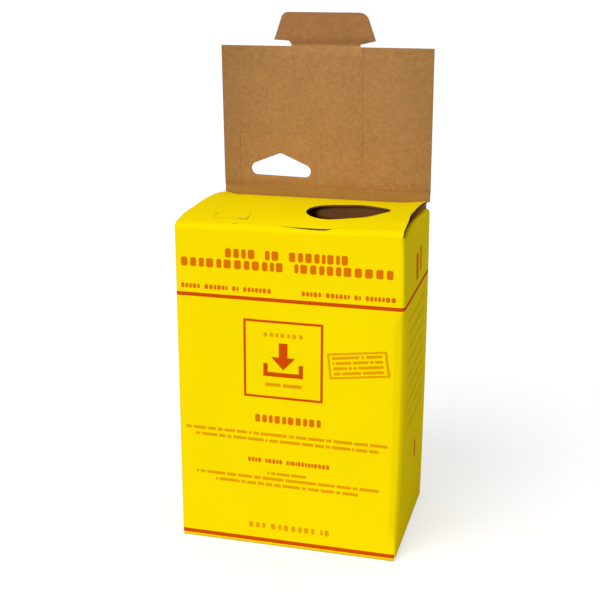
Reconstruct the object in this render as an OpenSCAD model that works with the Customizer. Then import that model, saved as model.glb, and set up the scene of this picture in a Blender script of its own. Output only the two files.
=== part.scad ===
// Cardboard sharps box of about seven litres, assembled and standing open with its lid upright.
// One folded carton of thin corrugated board, a loose liner of four panels and a loose base pad.
// X runs to the right seen from the front, Y to the back, Z up; origin at the middle of the base.
// Sizes in millimetres. Depths named "from the front" are measured from the front face.

/* [Board] */
// Thickness of the corrugated board
board_t = 1.6; // [1.3:0.1:2.2]
// Thickness left where the board is crushed into a crease
crease_t = 0.8; // [0.6:0.1:1]
// Clearance between boards that only lie against each other
lay_gap = 0.3; // [0.15:0.05:0.5]
// Clearance along a die cut, between a flap and the window it is cut from
cut_gap = 0.4; // [0.2:0.05:0.8]

/* [Box] */
// Width across the front
box_w = 200; // [170:1:300]
// Depth from the front face to the back face
box_d = 140; // [125:1:220]
// Height of the front wall up to the start of the soft top fold
front_h = 293; // [220:0.5:400]
// Outside radius of the four upright corners
corner_r = 3; // [2.4:0.1:6]

/* [Top] */
// Outside radius of the soft fold between the front wall and the top panel
top_fold_r = 5; // [4:0.5:8]
// Height of the crown of the top panel above the top of the front wall
crown_h = 11; // [9:0.25:14]
// Distance of the highest line of the crown from the front
crown_y = 72; // [60:1:90]
// Outside radius of the fold between the top panel and its tuck flap
tuck_fold_r = 2.4; // [2:0.1:5]
// Length of the tuck flap that hangs inside the back wall
tuck_len = 28; // [15:1:45]
// How far the top face of a dust flap lies below the outside of the crown
dust_drop = 4.75; // [4:0.25:8]
// Length of each dust flap from the outside of its wall
dust_len = 19; // [12:1:21]
// Slant at the two ends of a dust flap, measured along the depth
dust_slant = 14; // [4:1:24]

/* [Drop opening] */
// Diameter of the round part of the drop opening
drop_d = 50; // [40:1:58]
// Distance of the round part's centre from the middle of the box, to the right
drop_x = 30.75; // [26:0.25:38]
// Distance of the round part's centre from the front
drop_y = 48.5; // [44:0.5:62]
// Straight run by which the round part is drawn out
drop_run = 17.5; // [8:0.5:22]
// Radius of the narrow end of the drop opening
drop_tip_r = 4.25; // [2:0.25:6]
// Length from the round part's centre to the narrow end's centre
drop_tip_len = 45.75; // [42:0.25:52]
// Angle of the narrow end, to the right and turned back
drop_angle = 15; // [0:0.5:40]

/* [Lock] */
// Clearance of the folded tongue in the slot, front and back
slot_gap = 0.4; // [0.3:0.05:0.8]
// Clearance of the tongue in the slot, at each end
slot_end_gap = 0.75; // [0.5:0.05:1.5]
// Reach of the slanted cuts at the two ends of the slot, to the side and to the back
slot_ear = 5; // [2:0.5:8]
// Width of the slanted cuts
slot_ear_w = 0.8; // [0.5:0.1:1.2]
// Width of the tongue across its two wings
tongue_w = 95; // [80:1:110]
// Length of the tongue from its crease to its end
tongue_len = 28.5; // [20:0.5:32]
// Half of the width that the tongue loses from its wings to its end
tongue_taper = 9.5; // [2:0.5:14]
// Radius of the two corners at the end of the tongue
tongue_r = 7; // [3:0.5:10]
// Width of the neck that carries the tongue
neck_w = 65; // [40:1:70]
// Length of the neck from the lid's edge to the groove of its crease
neck_h = 0.6; // [0.2:0.1:4]
// Rise of the wings' lower edges from the neck to their tips
wing_rise = 2.2; // [0:0.2:5]

/* [Lid] */
// Height of the lid's crease above the top of the front wall
crease_rise = 12; // [9:0.25:16]
// Forward lean of the open lid at rest
lid_lean = 2.2; // [0:0.2:6]
// How far the open lid can be folded back, in degrees; sets the play of the creases
back_fold = 120; // [60:5:130]

/* [Hand-hold] */
// Width of the hand-hold panel
hold_w = 80; // [70:1:86]
// Height of the hand-hold panel above the lid's crease
hold_h = 52; // [45:0.5:80]
// Distance of the middle of the panel to the left of the middle of the box
hold_x = 43.5; // [41:0.5:50]
// Width of the three-cornered finger hole
hole_w = 59.5; // [45:0.5:62]
// Height of the finger hole
hole_h = 22.4; // [18:0.2:30]
// Height of the lower edge of the finger hole above the crease
hole_v = 10; // [8:0.2:16]
// Corner radius of the finger hole
hole_r = 4.25; // [2:0.25:6]

/* [Push-in flap] */
// Width of the small flap cut into the top panel
push_w = 30; // [15:1:32]
// Length of the small flap from its crease to its free edge
push_len = 13.5; // [8:0.5:15]
// Distance of the middle of the small flap to the left of the middle of the box
push_x = 54.5; // [46:0.5:60]
// Distance of its crease from the front
push_y = 29; // [27:0.5:34]

/* [Bottom and inside] */
// Length of the two inner bottom flaps from the outside of their walls
base_flap_len = 70; // [40:1:80]
// Height of the tuck flap of the bottom panel
base_tuck_len = 28; // [15:1:45]
// Slant at the corners of tuck flaps and bottom flaps
flap_slant = 10; // [3:1:16]
// Thickness of the loose base pad
pad_t = 2.4; // [1.5:0.1:5]
// Width of the glue flap on the left wall
glue_w = 25; // [15:1:40]
// Slant at the two ends of the glue flap
glue_slant = 6; // [2:1:12]
// Clearance between the glue flap's ends and the parts above and below
glue_end_gap = 2; // [1:0.5:5]
// Clearance between the top of the liner and the tuck flap above it
liner_drop = 6; // [3:0.5:40]

/* [Hidden] */
$fn = 64;
// Cutting shapes reach this far above and below the top of the front wall
reach = 30;
// Straight sides meet round ends at this share of their radius, so that the two really cross
near = 0.998;
// Free play between the two sides of a crease that is folded right back
crease_free = 0.06;
// A groove beside a crease is this many times as wide as the board beyond the crease is thick
groove_k = 1.17;
// The strip beside the small flap is this share of the crease's thickness
strip_k = 0.95;
// Smallest inside radius of an upright corner
bend_r = 0.4;
// Clearance of the top sheet's two sides, and of flaps from the round upright corners
side_gap = 0.5;
corner_gap = 1;
// Clearance between the inner bottom flaps and the tuck flap of the bottom panel
base_gap = 0.4;
crease_r = crease_t / 2;
// Each panel stops this far from the line of its crease, so that the fold can close past a right angle
groove = (board_t - crease_r) * groove_k;
// The crushed board of the fixed side stops this far from the line of the crease
crease_play = crease_r / tan((180 - back_fold) / 2) + crease_free;

front_y = -box_d / 2;
wall_in = box_w / 2 - board_t;

// The crown is one arc, tangent to the soft fold at the front and to the tuck fold at the back
crown_r = (pow(crown_y - top_fold_r, 2) + pow(crown_h, 2) - pow(top_fold_r, 2))
        / (2 * (crown_h - top_fold_r));
crown_c = [front_y + crown_y, front_h + crown_h - crown_r];
fold_c = [front_y + top_fold_r, front_h];
fold_a = asin((crown_y - top_fold_r) / (crown_r - top_fold_r));
tuck_y = -front_y - board_t - lay_gap;
tuck_a = asin((tuck_y - tuck_fold_r - crown_c[0]) / (crown_r - tuck_fold_r));
tuck_c = [tuck_y - tuck_fold_r, crown_c[1] + (crown_r - tuck_fold_r) * cos(tuck_a)];
tuck_bottom = tuck_c[1] - tuck_len;
dust_r = crown_r - dust_drop - board_t;
panel_half = box_w / 2 - side_gap;

// The lock slot lies right behind the soft fold, from the fold's end to slot_back, measured from the front.
// It is as wide as the tapered tongue where that passes the slot, so the wings stay wider than the slot.
tongue_slope = tongue_taper / (tongue_len - groove);
slot_half = tongue_w / 2 - tongue_slope * (crease_rise - top_fold_r - groove) + slot_end_gap;
fold_end = top_fold_r - (top_fold_r - board_t) * sin(fold_a);
slot_y = fold_end + slot_gap + board_t / 2;
slot_back = slot_y + board_t / 2 + slot_gap;
crease_z = front_h + crease_rise;
crease_y = -front_y - crease_r;
// From the lid's crease to the tongue's crease, so that the folded tongue meets the slot
tongue_at = box_d - crease_r - slot_y + board_t / 2 - crease_r;
lid_len = tongue_at - groove - neck_h;
hold_l = -hold_x - hold_w / 2;
hold_r = -hold_x + hold_w / 2;

push_a = asin((crown_y - push_y) / crown_r);
push_c = [crown_c[0] - (crown_r - crease_r) * sin(push_a), crown_c[1] + (crown_r - crease_r) * cos(push_a)];

pad_z = 2 * board_t;
liner_z = pad_z + pad_t;
liner_top = tuck_bottom - liner_drop;
liner_in = 2 * board_t + 2 * lay_gap;
liner_r = corner_r;

yellow = [0.98, 0.84, 0.05];
kraft = [0.66, 0.48, 0.29];

// Draws an outline given as (Y, Z) and gives it the width from x0 to x1
module across(x0, x1) {
    translate([x0, 0, 0]) rotate([90, 0, 90]) linear_extrude(x1 - x0) children();
}

// Draws an outline given as (X, Z) and gives it the thickness from y0 to y1
module upright(y0, y1) {
    translate([0, y1, 0]) rotate([90, 0, 0]) linear_extrude(y1 - y0) children();
}

// Draws an outline given as (X, Y) and gives it the thickness from z0 to z1
module flat(z0, z1) {
    translate([0, 0, z0]) linear_extrude(z1 - z0) children();
}

module round_rect(w, d, r) {
    square([w - 2 * r, d], center = true);
    square([w, d - 2 * r], center = true);
    for (x = [-1, 1], y = [-1, 1]) translate([x * (w / 2 - r), y * (d / 2 - r)]) circle(r);
}

// A ring of board seen from above, with rounded corners
module board_ring(w, d, r) {
    difference() {
        round_rect(w, d, r);
        round_rect(w - 2 * board_t, d - 2 * board_t, max(r - board_t, bend_r));
    }
}

// One side of that ring, mitred through its two corners; the side facing -Y for turn 0, +X for turn 1
module ring_side(w, d, r, turn) {
    k = r + 3 * board_t;
    across_w = turn % 2 == 0 ? w : d;
    across_d = turn % 2 == 0 ? d : w;
    intersection() {
        board_ring(w, d, r);
        rotate(90 * turn) polygon([
            [-across_w / 2 - 1, -across_d / 2 - 1], [across_w / 2 + 1, -across_d / 2 - 1],
            [across_w / 2 - k, -across_d / 2 + k], [-across_w / 2 + k, -across_d / 2 + k]]);
    }
}

// A counter-clockwise polygon grown outward by r with round corners, its sides all but tangent to them
module round_poly(p, r) {
    n = len(p);
    polygon(p);
    for (i = [0:n - 1]) {
        a = p[i];
        b = p[(i + 1) % n];
        u = (b - a) / norm(b - a);
        out = [u[1], -u[0]] * r * near;
        translate(a) circle(r);
        polygon([a, a + out, b + out, b]);
    }
}

// A band of board that follows an arc of outside radius r about c, between two angles
module arc_band(c, r, from, to) {
    far = 2 * r;
    mid = (from + to) / 2;
    intersection() {
        translate(c) difference() {
            circle(r, $fn = 720);
            circle(r - board_t, $fn = 720);
        }
        polygon([c, c + far * [cos(from), sin(from)], c + far * [cos(mid), sin(mid)],
                 c + far * [cos(to), sin(to)]]);
    }
}

// A rectangle with its two far corners cut off; hinge edge on y = 0
module tab(w, h, slant) {
    polygon([[-w / 2, 0], [w / 2, 0], [w / 2, h - slant], [w / 2 - slant, h], [-w / 2 + slant, h],
             [-w / 2, h - slant]]);
}

// Side view of the crowned top panel
module crown_profile() {
    arc_band(crown_c, crown_r, 90 - tuck_a, 90 + fold_a);
}

// Drop opening: a drawn-out round part and a narrow end with straight sides between them, all but tangent
module drop_outline() {
    r = drop_d / 2;
    u = [cos(drop_angle), sin(drop_angle)];
    a = [drop_x, front_y + drop_y];
    b = a + drop_run * u;
    c = a + drop_tip_len * u;
    s = acos((r - drop_tip_r) / (drop_tip_len - drop_run));
    p = [cos(drop_angle + s), sin(drop_angle + s)];
    q = [cos(drop_angle - s), sin(drop_angle - s)];
    side = near * r * [-u[1], u[0]];
    for (m = [a, b]) translate(m) circle(r, $fn = 120);
    translate(c) circle(drop_tip_r);
    polygon([a + side, a - side, b - side, b + side]);
    polygon([b + near * r * p, b + near * r * q, c + near * drop_tip_r * q, c + near * drop_tip_r * p]);
}

// Lock slot, open to the soft fold, with a short slanted cut at each end that lets the board give
module slot_outline() {
    y = front_y + slot_back;
    a = slot_half;
    b = slot_half + slot_ear;
    w = slot_ear_w * sqrt(2);
    polygon([[-a, front_y], [a, front_y], [a, y], [b, y + slot_ear], [b - w, y + slot_ear], [a - w, y],
             [w - a, y], [w - b, y + slot_ear], [-b, y + slot_ear], [-a, y]]);
}

// Places a piece at the lid's crease: X along the crease, Z up the lid, Y to the outside
module at_lid() {
    translate([0, crease_y, crease_z]) rotate([lid_lean, 0, 0]) children();
}

// Places a piece at the push-in flap's crease: Z out of the board, Y to the back
module at_push() {
    translate([-push_x, push_c[0], push_c[1]]) rotate([push_a, 0, 0]) children();
}

// Crushed strip with its round back along a crease on the X axis, for the moving side; it runs into the board
module moving_crease(x0, x1) {
    translate([x0, 0, 0]) rotate([0, 90, 0]) cylinder(r = crease_r, h = x1 - x0, $fn = 32);
    translate([x0, -crease_r, 0]) cube([x1 - x0, crease_t, groove + crease_r]);
}

// The same strip on the fixed side, which stops short of the line of the crease
module fixed_crease(x0, x1) {
    translate([x0, -crease_r, -groove - crease_r])
        cube([x1 - x0, crease_t, groove + crease_r - crease_play]);
}

module front_wall() {
    color(yellow) flat(0, front_h) ring_side(box_w, box_d, corner_r, 0);
}

// The side walls end in a shallow arc that carries the dust flaps
module side_wall(turn) {
    intersection() {
        flat(pad_z, crease_z) ring_side(box_w, box_d, corner_r, turn);
        across(-box_w / 2 - 1, box_w / 2 + 1) intersection() {
            translate([front_y - 1, 0]) square([box_d + 2, crease_z]);
            translate(crown_c) circle(dust_r, $fn = 720);
        }
    }
}

module right_wall() {
    color(yellow) side_wall(1);
}

module left_wall() {
    color(yellow) side_wall(3);
}

module back_wall() {
    color(yellow) {
        flat(board_t, crease_z - groove) ring_side(box_w, box_d, corner_r, 2);
        translate([0, crease_y, crease_z])
            fixed_crease(-box_w / 2 + corner_r, box_w / 2 - corner_r);
    }
}

module glue_flap() {
    z0 = liner_z + glue_end_gap;
    h = tuck_bottom - glue_end_gap - z0;
    x0 = -box_w / 2 + corner_r;
    color(kraft) upright(-front_y - 2 * board_t, -front_y - board_t) polygon([
        [x0, z0], [x0 + glue_w, z0 + glue_slant], [x0 + glue_w, z0 + h - glue_slant], [x0, z0 + h]]);
}

// The soft fold turns the front wall over into the top panel
module top_fold() {
    color(yellow) across(-panel_half, panel_half) arc_band(fold_c, top_fold_r, 90 + fold_a, 180);
}

module top_panel() {
    color(yellow) {
        difference() {
            across(-panel_half, panel_half) crown_profile();
            flat(front_h - reach, front_h + reach) drop_outline();
            flat(front_h - reach, front_h + reach) slot_outline();
            at_push() translate([-push_w / 2 - cut_gap, -push_len - cut_gap, -reach / 2])
                cube([push_w + 2 * cut_gap, push_len + cut_gap + groove, reach]);
        }
        at_push() translate([-push_w / 2, crease_play, -crease_r])
            cube([push_w, groove + crease_r - crease_play, strip_k * crease_t]);
    }
}

// The tuck flap turns down from the back of the crown and hangs inside the back wall
module top_tuck_flap() {
    half = wall_in - corner_r;
    color(kraft) intersection() {
        across(-half, half) {
            arc_band(tuck_c, tuck_fold_r, 0, 90 - tuck_a);
            translate([tuck_y - board_t, tuck_bottom]) square([board_t, tuck_len]);
        }
        upright(0, box_d) translate([0, tuck_bottom + tuck_len + reach]) mirror([0, 1])
            tab(2 * half + 1, tuck_len + reach, flap_slant);
    }
}

// A dust flap follows the arc of its wall and is folded in over a soft round edge
module dust_flap() {
    y0 = front_y + corner_r + corner_gap;
    a0 = asin((y0 - crown_c[0]) / dust_r);
    a1 = asin((-y0 - crown_c[0]) / dust_r);
    color(yellow) difference() {
        translate([0, crown_c[0], crown_c[1]]) rotate([0, -90, 0]) rotate([0, 0, a0])
            rotate_extrude(angle = a1 - a0, $fn = 720) {
                translate([dust_r, box_w / 2 - dust_len]) square([board_t, dust_len - board_t]);
                intersection() {
                    translate([dust_r, box_w / 2 - board_t]) circle(board_t);
                    translate([dust_r, box_w / 2 - board_t]) square(board_t);
                }
            }
        flat(front_h - reach, front_h + reach) for (m = [0, 1]) mirror([0, m]) polygon([
            [-box_w / 2 + 2 * board_t, y0 - 2], [-box_w / 2 + dust_len + 1, y0 + dust_slant],
            [-box_w / 2 + dust_len + 1, y0 - 2]]);
    }
}

module left_dust_flap() {
    dust_flap();
}

module right_dust_flap() {
    mirror([1, 0, 0]) dust_flap();
}

// The bottom panel hangs on the back wall over a round edge and lies under all the rest
module bottom_panel() {
    half = box_w / 2 - corner_r - lay_gap;
    y0 = front_y + board_t + lay_gap;
    color(yellow) across(-half, half) {
        translate([y0 + board_t, 0]) square([box_d - 3 * board_t - lay_gap, board_t]);
        intersection() {
            union() {
                translate([y0 + board_t, board_t]) circle(board_t);
                translate([-front_y - board_t, board_t]) circle(board_t);
            }
            translate([y0, 0]) square([box_d, board_t]);
        }
    }
}

module bottom_tuck_flap() {
    y0 = front_y + board_t + lay_gap;
    color(kraft) upright(y0, y0 + board_t) translate([0, board_t])
        tab(2 * (wall_in - corner_r), base_tuck_len, flap_slant);
}

// The inner bottom flaps hang on the side walls and lie on the bottom panel
module bottom_flap() {
    y0 = front_y + 2 * board_t + 2 * lay_gap + base_gap;
    y1 = -front_y - corner_r - corner_gap;
    color(yellow) intersection() {
        across(-box_w / 2, -box_w / 2 + base_flap_len) translate([y0, board_t]) square([y1 - y0, board_t]);
        flat(0, pad_z) translate([-box_w / 2, (y0 + y1) / 2]) rotate(-90)
            tab(y1 - y0, base_flap_len, flap_slant);
        upright(front_y, -front_y) {
            translate([-box_w / 2 + board_t, board_t]) square([base_flap_len, board_t]);
            translate([-box_w / 2 + board_t, pad_z]) circle(board_t);
        }
    }
}

module left_bottom_flap() {
    bottom_flap();
}

module right_bottom_flap() {
    mirror([1, 0, 0]) bottom_flap();
}

module base_pad() {
    y0 = front_y + liner_in;
    y1 = -front_y - board_t - 2 * lay_gap;
    color(kraft) flat(pad_z, liner_z) translate([0, (y0 + y1) / 2])
        round_rect(2 * (wall_in - 2 * lay_gap), y1 - y0, corner_r);
}

// The liner is one sheet folded to four panels, standing loose on the base pad
module liner_side(turn) {
    color(kraft) flat(liner_z, liner_top)
        ring_side(box_w - 2 * liner_in, box_d - 2 * liner_in, liner_r, turn);
}

module liner_front() {
    liner_side(0);
}

module liner_right() {
    liner_side(1);
}

module liner_back() {
    liner_side(2);
}

module liner_left() {
    liner_side(3);
}

module lid_outline() {
    difference() {
        union() {
            translate([-box_w / 2, groove]) square([box_w, lid_len - groove]);
            translate([-neck_w / 2, lid_len - 1]) square([neck_w, 1 + neck_h]);
        }
        translate([hold_l - cut_gap, 0]) square([hold_w + 2 * cut_gap, hold_h + cut_gap]);
    }
}

module lid_panel() {
    color(kraft) at_lid() {
        upright(crease_r - board_t, crease_r) lid_outline();
        moving_crease(-box_w / 2, hold_l - cut_gap);
        moving_crease(hold_r + cut_gap, box_w / 2);
        translate([0, 0, tongue_at]) fixed_crease(-neck_w / 2, neck_w / 2);
    }
}

// The tongue narrows to a round-cornered end; beside the neck its wings rise a little to their tips
module tongue_outline() {
    h = tongue_len - groove;
    wing = 2 * wing_rise / (tongue_w - neck_w) * (tongue_w - neck_w / 2);
    side = tongue_r * norm([1, tongue_slope]);
    low = -3 * tongue_r;
    high = h - tongue_r;
    half_low = tongue_w / 2 - tongue_slope * low - side;
    half_high = tongue_w / 2 - tongue_slope * high - side;
    intersection() {
        translate([0, groove]) polygon([[-neck_w / 2, 0], [neck_w / 2, 0], [tongue_w, wing], [tongue_w, h],
                                        [-tongue_w, h], [-tongue_w, wing]]);
        translate([0, groove]) round_poly([[-half_low, low], [half_low, low], [half_high, high],
                                           [-half_high, high]], tongue_r);
    }
}

module lid_tongue() {
    color(kraft) at_lid() translate([0, 0, tongue_at]) {
        upright(crease_r - board_t, crease_r) tongue_outline();
        moving_crease(-neck_w / 2, neck_w / 2);
    }
}

module hand_hold_panel() {
    half = hole_w / 2 - hole_r;
    color(kraft) at_lid() {
        upright(crease_r - board_t, crease_r) difference() {
            translate([hold_l, groove]) square([hold_w, hold_h - groove]);
            translate([-hold_x, hole_v + hole_r])
                round_poly([[-half, 0], [half, 0], [0, hole_h - 2 * hole_r]], hole_r);
        }
        moving_crease(hold_l, hold_r);
    }
}

module push_in_flap() {
    color(yellow) at_push() across(-push_w / 2, push_w / 2) {
        translate([-push_len, crease_r - board_t]) square([push_len - groove, board_t]);
        translate([-groove - crease_r, -crease_r]) square([groove + crease_r, crease_t]);
        circle(crease_r, $fn = 32);
    }
}

front_wall();
right_wall();
back_wall();
left_wall();
glue_flap();
top_fold();
top_panel();
top_tuck_flap();
left_dust_flap();
right_dust_flap();
bottom_panel();
bottom_tuck_flap();
left_bottom_flap();
right_bottom_flap();
base_pad();
liner_front();
liner_right();
liner_back();
liner_left();
lid_panel();
lid_tongue();
hand_hold_panel();
push_in_flap();
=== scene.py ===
import math

import bpy
import numpy as np
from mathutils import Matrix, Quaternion, Vector
from mathutils.geometry import delaunay_2d_cdt


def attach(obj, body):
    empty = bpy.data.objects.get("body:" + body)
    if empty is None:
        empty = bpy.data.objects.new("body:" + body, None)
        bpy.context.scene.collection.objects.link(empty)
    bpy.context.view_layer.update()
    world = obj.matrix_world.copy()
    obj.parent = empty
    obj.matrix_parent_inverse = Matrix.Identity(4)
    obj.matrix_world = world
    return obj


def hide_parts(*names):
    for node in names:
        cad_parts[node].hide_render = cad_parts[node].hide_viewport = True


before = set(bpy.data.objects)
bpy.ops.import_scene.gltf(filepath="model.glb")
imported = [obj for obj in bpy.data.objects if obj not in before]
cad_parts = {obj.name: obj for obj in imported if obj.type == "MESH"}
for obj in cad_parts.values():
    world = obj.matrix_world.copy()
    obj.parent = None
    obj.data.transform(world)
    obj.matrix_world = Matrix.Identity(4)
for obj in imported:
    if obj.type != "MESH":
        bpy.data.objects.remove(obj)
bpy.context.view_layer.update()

# Camera. It stands to the right of the box's front, just higher than the open lid, and looks a little down,
# so that the front, the narrow right side, the crowned top and the inside of the lid all show.
scene = bpy.context.scene
scene.view_settings.view_transform = "Standard"
camera_place = Vector((0.2500, -0.9528, 0.5003))
camera_aim = Vector((0.0125, -0.0700, 0.2352))
camera_roll = math.radians(0.13)
camera_lens, sensor_width = 67.3, 36.0
camera = bpy.data.objects.new("camera", bpy.data.cameras.new("camera"))
camera.data.sensor_width = sensor_width
camera.data.lens = camera_lens
camera.location = camera_place
camera_turn = (camera_aim - camera_place).to_track_quat("-Z", "Y") @ Quaternion((0, 0, 1), camera_roll)
camera.rotation_euler = camera_turn.to_euler()
scene.collection.objects.link(camera)
scene.camera = camera

# Front wall. The widest printed panel of the carton blank: thin corrugated board with yellow-printed paper
# outside, plain kraft paper inside and a fluted layer between them, seen wherever the die has cut it.
# It is creased round both upright corners and runs on into the top without a seam.
MM = 0.001
board_t = 1.6
flute_pitch = 3.2
cut_round = 0.15
box_w, box_d = 200.0, 140.0
wall_top = 293.0
corner_r = 3.0
corner_arc = corner_r * math.pi / 4
front_half = box_w / 2 - corner_r
side_half = box_d / 2 - corner_r
line_short = 0.6
snug = 0.01


def paint(red, green, blue):
    """Linear colour of an ink or a paper, from its everyday 0-255 values."""
    parts = [c / 255 for c in (red, green, blue)]
    return tuple(c / 12.92 if c < 0.0405 else ((c + 0.055) / 1.055) ** 2.4 for c in parts) + (1.0,)


def add(tree, kind, feeds, **settings):
    """A shader node with its settings made and each input either set or wired."""
    made = tree.nodes.new("ShaderNode" + kind)
    for key, value in settings.items():
        setattr(made, key, value)
    for key, value in feeds.items():
        if isinstance(value, bpy.types.NodeSocket):
            tree.links.new(value, made.inputs[key])
        else:
            made.inputs[key].default_value = value
    return made


def calc(tree, operation, *values, clamp=False):
    return add(tree, "Math", dict(enumerate(values)), operation=operation, use_clamp=clamp).outputs[0]


def apart(tree, first, second):
    """Distance between two values."""
    return calc(tree, "ABSOLUTE", calc(tree, "SUBTRACT", first, second))


def rise_share(tree, high, low, run):
    """How far the high value stands above the low one, as a share of the run, from 0 to 1."""
    return calc(tree, "DIVIDE", calc(tree, "SUBTRACT", high, low), run, clamp=True)


def mixed(tree, share, first, second):
    """The first colour, giving way to the second as the share goes from 0 to 1."""
    return add(tree, "Mix", {0: share, 6: first, 7: second}, data_type="RGBA").outputs[2]


def noise(tree, where, scale, detail=2.0, stretch=None):
    if stretch:
        where = add(tree, "Mapping", {"Vector": where, "Scale": stretch}).outputs[0]
    return add(tree, "TexNoise", {"Vector": where, "Scale": scale, "Detail": detail}).outputs["Fac"]


def fresh(name, roughness, shine):
    made = bpy.data.materials.new(name)
    made.use_nodes = True
    face = made.node_tree.nodes["Principled BSDF"]
    face.inputs["Roughness"].default_value = roughness
    face.inputs["Specular IOR Level"].default_value = shine
    return made, made.node_tree, face


def washboard(tree, sheet, depth, grain):
    """Normal of paper glued over flutes: faint long waves along the flutes, and the grain of the paper."""
    grain_depth, relief = 0.5, 0.05
    across = add(tree, "SeparateXYZ", {0: sheet}).outputs["X"]
    wave = calc(tree, "SINE", calc(tree, "MULTIPLY", across, 2 * math.pi / (flute_pitch * MM)))
    ribs = calc(tree, "MULTIPLY", wave, depth)
    height = calc(tree, "ADD", ribs, calc(tree, "MULTIPLY", grain, grain_depth))
    return add(tree, "Bump", {"Height": height, "Strength": 1.0, "Distance": relief * MM}).outputs[0]


def printed_paper(name, ink, bands=(), band_ink=None):
    """Smooth paper printed all over in one ink, faintly uneven, with level bands and a darker lower edge."""
    cloud_light, cloud_rough, low_edge_patch = (0.10, 0.95), (0.24, 0.54), (1.2, 0.2)
    band_soft, low_edge_top, low_edge_run = 0.15, 2.6, 2.2
    low_edge_colour = paint(208, 166, 46)
    made, tree, face = fresh(name, roughness=0.66, shine=0.005)
    where = add(tree, "TexCoord", {})
    place, sheet = where.outputs["Object"], where.outputs["UV"]
    cloud = noise(tree, place, scale=16.0, detail=3.0)
    fine = noise(tree, place, scale=1500.0, detail=1.0)
    patch = noise(tree, place, scale=160.0, detail=3.0)
    light = calc(tree, "MULTIPLY_ADD", cloud, *cloud_light)
    colour = add(tree, "VectorMath", {0: ink[:3], "Scale": light}, operation="SCALE").outputs[0]
    height = add(tree, "SeparateXYZ", {0: place}).outputs["Z"]
    for middle, half in bands:
        band = rise_share(tree, half * MM, apart(tree, height, middle * MM), band_soft * MM)
        colour = mixed(tree, band, colour, band_ink)
    # Darker along the lower edge, in patches.
    low_edge_share = rise_share(tree, low_edge_top * MM, height, low_edge_run * MM)
    low_edge_share = calc(tree, "MULTIPLY", low_edge_share, calc(tree, "MULTIPLY_ADD", patch, *low_edge_patch))
    colour = mixed(tree, low_edge_share, colour, low_edge_colour)
    tree.links.new(colour, face.inputs["Base Color"])
    tree.links.new(calc(tree, "MULTIPLY_ADD", cloud, *cloud_rough), face.inputs["Roughness"])
    tree.links.new(washboard(tree, sheet, depth=0.12, grain=fine), face.inputs["Normal"])
    return made


def kraft_paper(name, colour, contrast=1.0, worn=None):
    """Unbleached paper: cloudy, with short darker and paler fibres both ways and scattered dark specks.
    worn gives the share of its light that a place keeps: painted shade."""
    fibre_long, fibre_fine = 260.0, 1900.0
    speck_rare, speck_size, speck_soft, speck_strength, speck_dark = 0.45, 0.32, 0.05, 0.5, 0.42
    blotch_rough = (0.2, 0.78)
    made, tree, face = fresh(name, roughness=0.9, shine=0.04)
    where = add(tree, "TexCoord", {})
    place, sheet = where.outputs["Object"], where.outputs["UV"]
    cloud = noise(tree, place, scale=40.0, detail=3.0)
    blotch = noise(tree, place, scale=260.0, detail=2.0)
    along = noise(tree, place, scale=1.0, detail=1.0, stretch=(fibre_long, fibre_long, fibre_fine))
    up = noise(tree, place, scale=1.0, detail=1.0, stretch=(fibre_fine, fibre_fine, fibre_long))
    parts = ((cloud, 0.14), (blotch, 0.30), (along, 0.26), (up, 0.18))
    light = 1.0 - contrast * sum(weight for _, weight in parts) / 2
    for part, weight in parts:
        light = calc(tree, "MULTIPLY_ADD", part, weight * contrast, light)
    # Painted shade: the colour is darkened where worn says.
    if worn:
        light = calc(tree, "MULTIPLY", light, worn(tree, place))
    shade = add(tree, "VectorMath", {0: colour[:3], "Scale": light}, operation="SCALE").outputs[0]
    cells = add(tree, "TexVoronoi", {"Vector": place, "Scale": 230.0})
    chosen = add(tree, "SeparateColor", {0: cells.outputs["Color"]}).outputs[0]
    size = calc(tree, "MULTIPLY", calc(tree, "SUBTRACT", chosen, speck_rare, clamp=True), speck_size)
    speck = rise_share(tree, size, cells.outputs["Distance"], speck_soft)
    speck = calc(tree, "MULTIPLY", speck, speck_strength * contrast)
    dark = tuple(c * speck_dark for c in colour[:3]) + (1.0,)
    tree.links.new(mixed(tree, speck, shade, dark), face.inputs["Base Color"])
    tree.links.new(calc(tree, "MULTIPLY_ADD", blotch, *blotch_rough), face.inputs["Roughness"])
    fibres = calc(tree, "ADD", along, up)
    tree.links.new(washboard(tree, sheet, depth=0.25, grain=fibres), face.inputs["Normal"])
    return made


def fluted_edge(name, paper, hollow_shade):
    """Cut edge of corrugated board: two flat papers with a wavy one between them, and painted shade in the
    hollows between them.
    """
    wave_rise, wavy_half, wavy_soft = 0.32, 0.16, 0.06
    flat_from, flat_soft = 0.33, 0.05
    made, tree, face = fresh(name, roughness=0.9, shine=0.1)
    spot = add(tree, "SeparateXYZ", {0: add(tree, "TexCoord", {}).outputs["UV"]})
    turn = calc(tree, "MULTIPLY", spot.outputs["X"], 2 * math.pi / (flute_pitch * MM))
    wave = calc(tree, "MULTIPLY_ADD", calc(tree, "SINE", turn), wave_rise, 0.5)
    wavy = rise_share(tree, wavy_half, apart(tree, spot.outputs["Y"], wave), wavy_soft)
    flat = rise_share(tree, apart(tree, spot.outputs["Y"], 0.5), flat_from, flat_soft)
    solid = calc(tree, "MAXIMUM", wavy, flat)
    tree.links.new(mixed(tree, solid, hollow_shade, paper), face.inputs["Base Color"])
    bump = add(tree, "Bump", {"Height": solid, "Strength": 0.8, "Distance": 0.3 * MM})
    tree.links.new(bump.outputs[0], face.inputs["Normal"])
    return made


def spread(points, gap, closed=True):
    """The same outline with points never further apart than the gap."""
    out = []
    for i, a in enumerate(points if closed else points[:-1]):
        b = points[(i + 1) % len(points)]
        n = max(1, math.ceil(math.dist(a, b) / gap))
        out += [(a[0] + (b[0] - a[0]) * k / n, a[1] + (b[1] - a[1]) * k / n) for k in range(n)]
    return out if closed else out + [points[-1]]


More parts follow.
